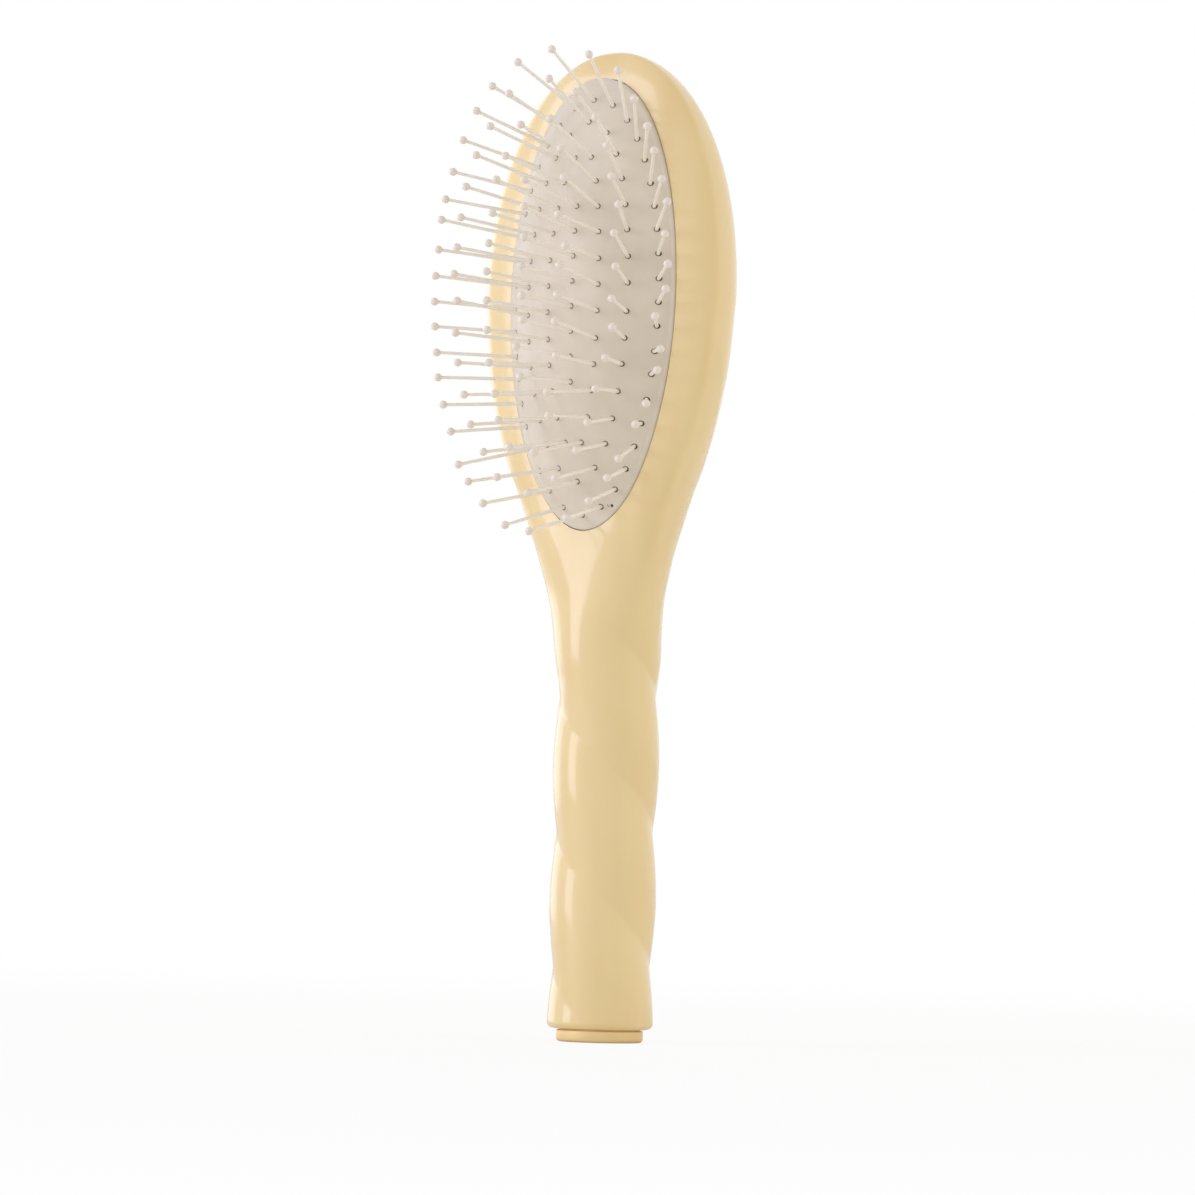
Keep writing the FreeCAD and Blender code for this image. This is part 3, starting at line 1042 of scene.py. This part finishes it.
@dataclass
class PinField:
    """All the ball-tipped pins, in the groups of the frame."""

    TIP = "tip"

    cushion: Cushion
    length_mm: float = 20.0
    root_radius_mm: float = 0.44
    neck_radius_mm: float = 0.37
    waist_share: float = 0.5
    waist_taper_share: float = 0.6
    ball_mm: float = 0.95
    ball_neck_share: float = 1.12
    ball_turns: tuple[float, ...] = (-66.0, -48.0, -26.0, 0.0, 26.0, 48.0, 70.0)
    sunk_mm: float = 1.6
    sides: int = 12
    crisp_angle: float = 50.0
    scatter: float = 2.6
    most_lean: float = 5.0
    seed: int = 11
    outline_steps: int = 720
    spine_centre_share: float = 0.023
    spine_pitch_share: float = 0.1105
    spine_count: int = 8
    rings: tuple[PinRing, ...] = (
        PinRing(
            prefix="outer_pins",
            width_share=0.87,
            length_share=0.915,
            centre_share=-0.02,
            count=40,
            groups=(
                "top",
                "upper_left",
                "left",
                "lower_left",
                "bottom",
                "lower_right",
                "right",
                "upper_right",
            ),
        ),
        PinRing(
            prefix="middle_pins",
            width_share=0.603,
            length_share=0.793,
            centre_share=0.0,
            count=30,
            groups=("top", "upper_left", "lower_left", "bottom", "lower_right", "upper_right"),
        ),
        PinRing(
            prefix="inner_pins",
            width_share=0.304,
            length_share=0.663,
            centre_share=0.0,
            count=24,
            groups=("top", "left", "bottom", "right"),
        ),
    )

    def ring_places(self, ring: PinRing) -> list[Pair]:
        """Spaces the pins of one ring evenly along its oval.

        Args:
            ring: The ring.

        Returns:
            The places in mm across and along the cushion, from the first group's first pin.
        """
        head = self.cushion.head
        half_width = head.half_width_mm * ring.width_share
        half_length = head.half_length_mm * ring.length_share
        turns = [FULL_TURN * number / self.outline_steps for number in range(self.outline_steps + 1)]
        angles = [math.radians(RIGHT_ANGLE + turn) for turn in turns]
        points = [head.outline(half_width, half_length, angle) for angle in angles]
        lengths = [0.0]
        for before, after in zip(points, points[1:]):
            lengths.append(lengths[-1] + math.dist(before, after))
        start = ring.count - (ring.count // len(ring.groups) - 1) / 2.0
        places = []
        for index in range(ring.count):
            wanted = lengths[-1] * ((index + start) % ring.count) / ring.count
            across, along = points[max(n for n, length in enumerate(lengths) if length <= wanted)]
            places.append((across, along + head.half_length_mm * ring.centre_share))
        return places

    def groups(self) -> dict[str, list[Pair]]:
        """Gives the places of the pins of every group.

        Returns:
            The places in mm across and along the cushion, by the name of the group's node.
        """
        groups = {}
        for ring in self.rings:
            places = self.ring_places(ring)
            size = ring.count // len(ring.groups)
            for number, name in enumerate(ring.groups):
                groups[f"{ring.prefix}_{name}"] = places[size * number : size * (number + 1)]
        middle = (self.spine_count - 1) / 2.0
        steps = [middle - number for number in range(self.spine_count)]
        shares = [self.spine_centre_share + self.spine_pitch_share * step for step in steps]
        spine = [(0.0, self.cushion.head.half_length_mm * share) for share in shares]
        half = self.spine_count // 2
        groups["spine_pins_upper"] = spine[:half]
        groups["spine_pins_lower"] = spine[half:]
        return groups

    def model(self) -> Piece:
        """Builds the one pin that the others copy.

        Returns:
            The pin, upright with its root at the origin and its ball marked as the tip.
        """
        root, neck, ball = self.root_radius_mm, self.neck_radius_mm, self.ball_mm
        ball_centre = self.length_mm - ball
        profile = [
            (0.0, -self.sunk_mm),
            (root, -self.sunk_mm),
            (root, 0.0),
            (between(root, neck, self.waist_taper_share), self.length_mm * self.waist_share),
            (neck, ball_centre - ball * self.ball_neck_share),
        ]
        for angle in map(math.radians, self.ball_turns):
            profile.append((ball * math.cos(angle), ball_centre + ball * math.sin(angle)))
        profile.append((0.0, self.length_mm))
        pin = Bench.turned("pin", profile, self.sides)
        tip = pin.data.attributes.new(self.TIP, "FLOAT", "POINT")
        for number, vertex in enumerate(pin.data.vertices):
            tip.data[number].value = 1.0 if vertex.co.z / MM > ball_centre - ball else 0.0
        return pin

    def group(
        self, name: str, places: list[Pair], model: Piece, chance: random.Random
    ) -> Piece:
        """Stands copies of the pin on their places and joins them.

        Args:
            name: Name of the group's node.
            places: Places of its pins in mm.
            model: The pin to copy.
            chance: Source of the small natural scatter.

        Returns:
            The group as one piece.
        """
        head = self.cushion.head.placement()
        copies = []
        for across, along in places:
            root, turn = self.cushion.pin_turn(across, along)
            angle = chance.uniform(0.0, 2.0 * math.pi)
            lean = math.radians(abs(chance.gauss(0.0, self.scatter)))
            lean = min(lean, math.radians(self.most_lean))
            aside = Quaternion(Vector((math.cos(angle), math.sin(angle), 0.0)), lean)
            matrix = Matrix.Translation(root * MM) @ (turn @ aside).to_matrix().to_4x4()
            pin = model.copy()
            pin.data = model.data.copy()
            bpy.context.scene.collection.objects.link(pin)
            pin.data.transform(head @ matrix)
            copies.append(pin)
        Bench.clear_selection()
        for pin in copies:
            pin.select_set(True)
        bpy.context.view_layer.objects.active = copies[0]
        bpy.ops.object.join()
        piece = bpy.context.active_object
        piece.name = f"nylon_{name}"
        piece.data.name = piece.name
        return piece

    def build(self, material: Material) -> list[Piece]:
        """Builds and dresses every group.

        Args:
            material: The satin nylon.

        Returns:
            The groups.
        """
        chance = random.Random(self.seed)
        model = self.model()
        pieces = []
        for name, places in self.groups().items():
            piece = self.group(name, places, model, chance)
            Bench.dress(piece, self.crisp_angle, material, Slot.NYLON)
            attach(piece, name)
            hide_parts(name)
            pieces.append(piece)
        bpy.data.objects.remove(model, do_unlink=True)
        return pieces


@dataclass
class Foot:
    """The turned foot with a narrow neck under the handle."""

    radius_mm: float = 9.8
    height_mm: float = 2.6
    chamfer_mm: float = 0.75
    chamfer_steps: int = 5
    bottom_inset_mm: float = 0.2
    edge_mm: float = 0.18
    edge_steps: int = 4
    neck_radius_mm: float = 9.1
    top_mm: float = 2.9
    sides: int = 128
    crisp_angle: float = 40.0

    def profile(self) -> list[Pair]:
        """Gives the outline of the foot.

        Returns:
            The radius and the height in mm of each ring, from the bottom up.
        """
        points = [(0.0, 0.0), (self.radius_mm - self.chamfer_mm - self.bottom_inset_mm, 0.0)]
        for step in range(self.chamfer_steps + 1):
            angle = math.radians(RIGHT_ANGLE * step / self.chamfer_steps)
            inset = self.chamfer_mm * (1.0 - math.sin(angle))
            points.append((self.radius_mm - inset, self.chamfer_mm * (1.0 - math.cos(angle))))
        for step in range(self.edge_steps + 1):
            angle = math.radians(RIGHT_ANGLE * step / self.edge_steps)
            radius = self.radius_mm - self.edge_mm * (1.0 - math.cos(angle))
            points.append((radius, self.height_mm - self.edge_mm * (1.0 - math.sin(angle))))
        neck = self.neck_radius_mm
        return [*points, (neck, self.height_mm), (neck, self.top_mm), (0.0, self.top_mm)]

    def build(self, material: Material) -> Piece:
        """Builds and dresses the foot.

        Args:
            material: The turned brass.

        Returns:
            The finished piece.
        """
        piece = Bench.turned("turned_foot", self.profile(), self.sides)
        Bench.dress(piece, self.crisp_angle, material, Slot.BRASS)
        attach(piece, Carrier.HANDLE.value)
        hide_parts("foot")
        return piece


@dataclass(frozen=True)
class Lamp:
    """A soft lamp that points at the middle of the brush.

    Its turn round the brush is 0 in front and positive to the right, and its rise is the angle
    above the level. Its power is in watts.
    """

    name: str
    turn: float
    rise: float
    away: float
    size: Pair
    power: float
    colour: Glow
    on_gloss: bool = True
    on_matt: bool = True
    aim_height: float = 0.12

    def hang(self) -> None:
        """Hangs the lamp."""
        data = bpy.data.lights.new(self.name, "AREA")
        data.shape = "RECTANGLE"
        data.size, data.size_y = self.size
        data.energy = self.power
        data.color = self.colour.value
        lamp = bpy.data.objects.new(self.name, data)
        bpy.context.scene.collection.objects.link(lamp)
        turn, rise = math.radians(self.turn), math.radians(self.rise)
        level = self.away * math.cos(rise)
        up = self.away * math.sin(rise)
        place = Vector((level * math.sin(turn), -level * math.cos(turn), up))
        lamp.location = place + Vector((0.0, 0.0, self.aim_height))
        lamp.rotation_euler = (-place).to_track_quat("-Z", "Y").to_euler()
        lamp.visible_glossy = self.on_gloss
        lamp.visible_diffuse = self.on_matt


@dataclass
class Studio:
    """Floor, light and camera."""

    view_turn: float = 35.0
    view_roll: float = 1.43
    camera_away: float = 1.083
    camera_height: float = 0.0345
    aim_height: float = 0.1006
    aim_aside: float = -0.0029
    frame_width: float = 0.2712
    sensor_mm: float = 36.0
    sight: float = 20.0
    world_level: float = 0.61
    world_colour: Colour = (1.0, 0.99, 0.975, 1.0)
    floor_size: float = 8.0
    floor_colour: Colour = (0.93, 0.92, 0.9, 1.0)
    floor_white_share: float = 0.86
    fade_start: float = 0.1
    fade_end: float = 0.9
    lamps: tuple[Lamp, ...] = (
        Lamp("key", -39.0, 18.0, 1.3, (0.5, 0.82), 4.0, Glow.WINDOW),
        Lamp("wash", -39.0, 18.0, 1.3, (1.5, 1.5), 2.7, Glow.WINDOW, on_gloss=False),
        Lamp("gloss", -98.0, 10.0, 1.4, (0.9, 1.2), 4.0, Glow.WINDOW, on_matt=False),
        Lamp("fill", 112.0, 20.0, 1.6, (1.2, 1.2), 5.1, Glow.ROOM, on_gloss=False),
        Lamp("back", 200.0, 20.0, 1.6, (1.2, 1.2), 5.0, Glow.ROOM, on_gloss=False),
    )

    def floor(self) -> None:
        """Lays a plain pale floor that keeps the shadow and turns white further out."""
        Bench.clear_selection()
        bpy.ops.mesh.primitive_plane_add(size=self.floor_size)
        floor = bpy.context.active_object
        floor.name = "floor"
        tree = MaterialTree("pale_floor")
        tree.fixed(Base_Color=self.floor_colour, Roughness=0.9, Specular_IOR_Level=0.1)
        white = tree.add("ShaderNodeEmission", {"Color": WHITE, "Strength": 1.0})
        away = tree.add("ShaderNodeVectorMath", operation="LENGTH")
        tree.link(tree.place, away.inputs[0])
        values = {
            "From Min": self.fade_start,
            "From Max": self.fade_end,
            "To Min": self.floor_white_share,
        }
        fade = tree.add("ShaderNodeMapRange", values, interpolation_type="SMOOTHSTEP")
        tree.link(away.outputs["Value"], fade.inputs["Value"])
        camera = tree.add("ShaderNodeLightPath").outputs["Is Camera Ray"]
        share = tree.join(camera, fade.outputs["Result"], Operation.MULTIPLY)
        shader = tree.shader.outputs["BSDF"]
        tree.blend(share, shader, white.outputs["Emission"], "Material Output")
        floor.data.materials.append(tree.material)

    def world(self) -> None:
        """Sets an even pale world that the camera and gloss see as white."""
        world = bpy.data.worlds.new("studio")
        bpy.context.scene.world = world
        world.use_nodes = True
        tree = Tree(world.node_tree)
        lit = tree.nodes["Background"]
        lit.inputs["Color"].default_value = self.world_colour
        lit.inputs["Strength"].default_value = self.world_level
        white = tree.add("ShaderNodeBackground", {"Color": WHITE, "Strength": 1.0})
        path = tree.add("ShaderNodeLightPath").outputs
        seen = tree.join(path["Is Camera Ray"], path["Is Transmission Ray"], Operation.ADD)
        share = tree.join(seen, path["Is Glossy Ray"], Operation.ADD, clamped=True)
        lit_shader = lit.outputs["Background"]
        tree.blend(share, lit_shader, white.outputs["Background"], "World Output")

    def camera(self) -> None:
        """Sets the camera at the photograph's view."""
        data = bpy.data.cameras.new("view")
        data.sensor_fit = "AUTO"
        data.sensor_width = self.sensor_mm
        data.lens = self.sensor_mm * self.camera_away / self.frame_width
        data.clip_end = self.sight
        camera = bpy.data.objects.new("view", data)
        bpy.context.scene.collection.objects.link(camera)
        turn = math.radians(self.view_turn)
        out = Vector((math.sin(turn), -math.cos(turn), 0.0))
        aside = Vector((math.cos(turn), math.sin(turn), 0.0))
        camera.location = out * self.camera_away + Vector((0.0, 0.0, self.camera_height))
        aim = aside * self.aim_aside + Vector((0.0, 0.0, self.aim_height))
        roll = Quaternion(Vector((0.0, 0.0, 1.0)), math.radians(self.view_roll))
        sight = (aim - camera.location).to_track_quat("-Z", "Y")
        camera.rotation_euler = (sight @ roll).to_euler()
        bpy.context.scene.camera = camera

    def build(self) -> None:
        """Sets up everything round the brush."""
        self.floor()
        self.world()
        for lamp in self.lamps:
            lamp.hang()
        self.camera()
        bpy.context.scene.view_settings.view_transform = "Standard"


def main() -> None:
    """Loads the frame, builds every piece and sets up the studio."""
    logging.basicConfig(level=logging.INFO, format="%(name)s: %(message)s")
    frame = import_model()
    LOG.info("frame with %d nodes", len(frame["nodes"]))
    head = Head()
    cushion = Cushion(head)
    pins = PinField(cushion)
    roots = [place for places in pins.groups().values() for place in places]
    pieces = [Body(head).build(PolishedAcetate().material())]
    pieces.append(cushion.build(MouldedRubber().material(), roots))
    pieces += pins.build(SatinNylon().material())
    pieces.append(Foot().build(TurnedBrass().material()))
    for piece in pieces:
        LOG.info("%s: %d faces", piece.name, len(piece.data.polygons))
    Studio().build()


if __name__ == "__main__":
    main()
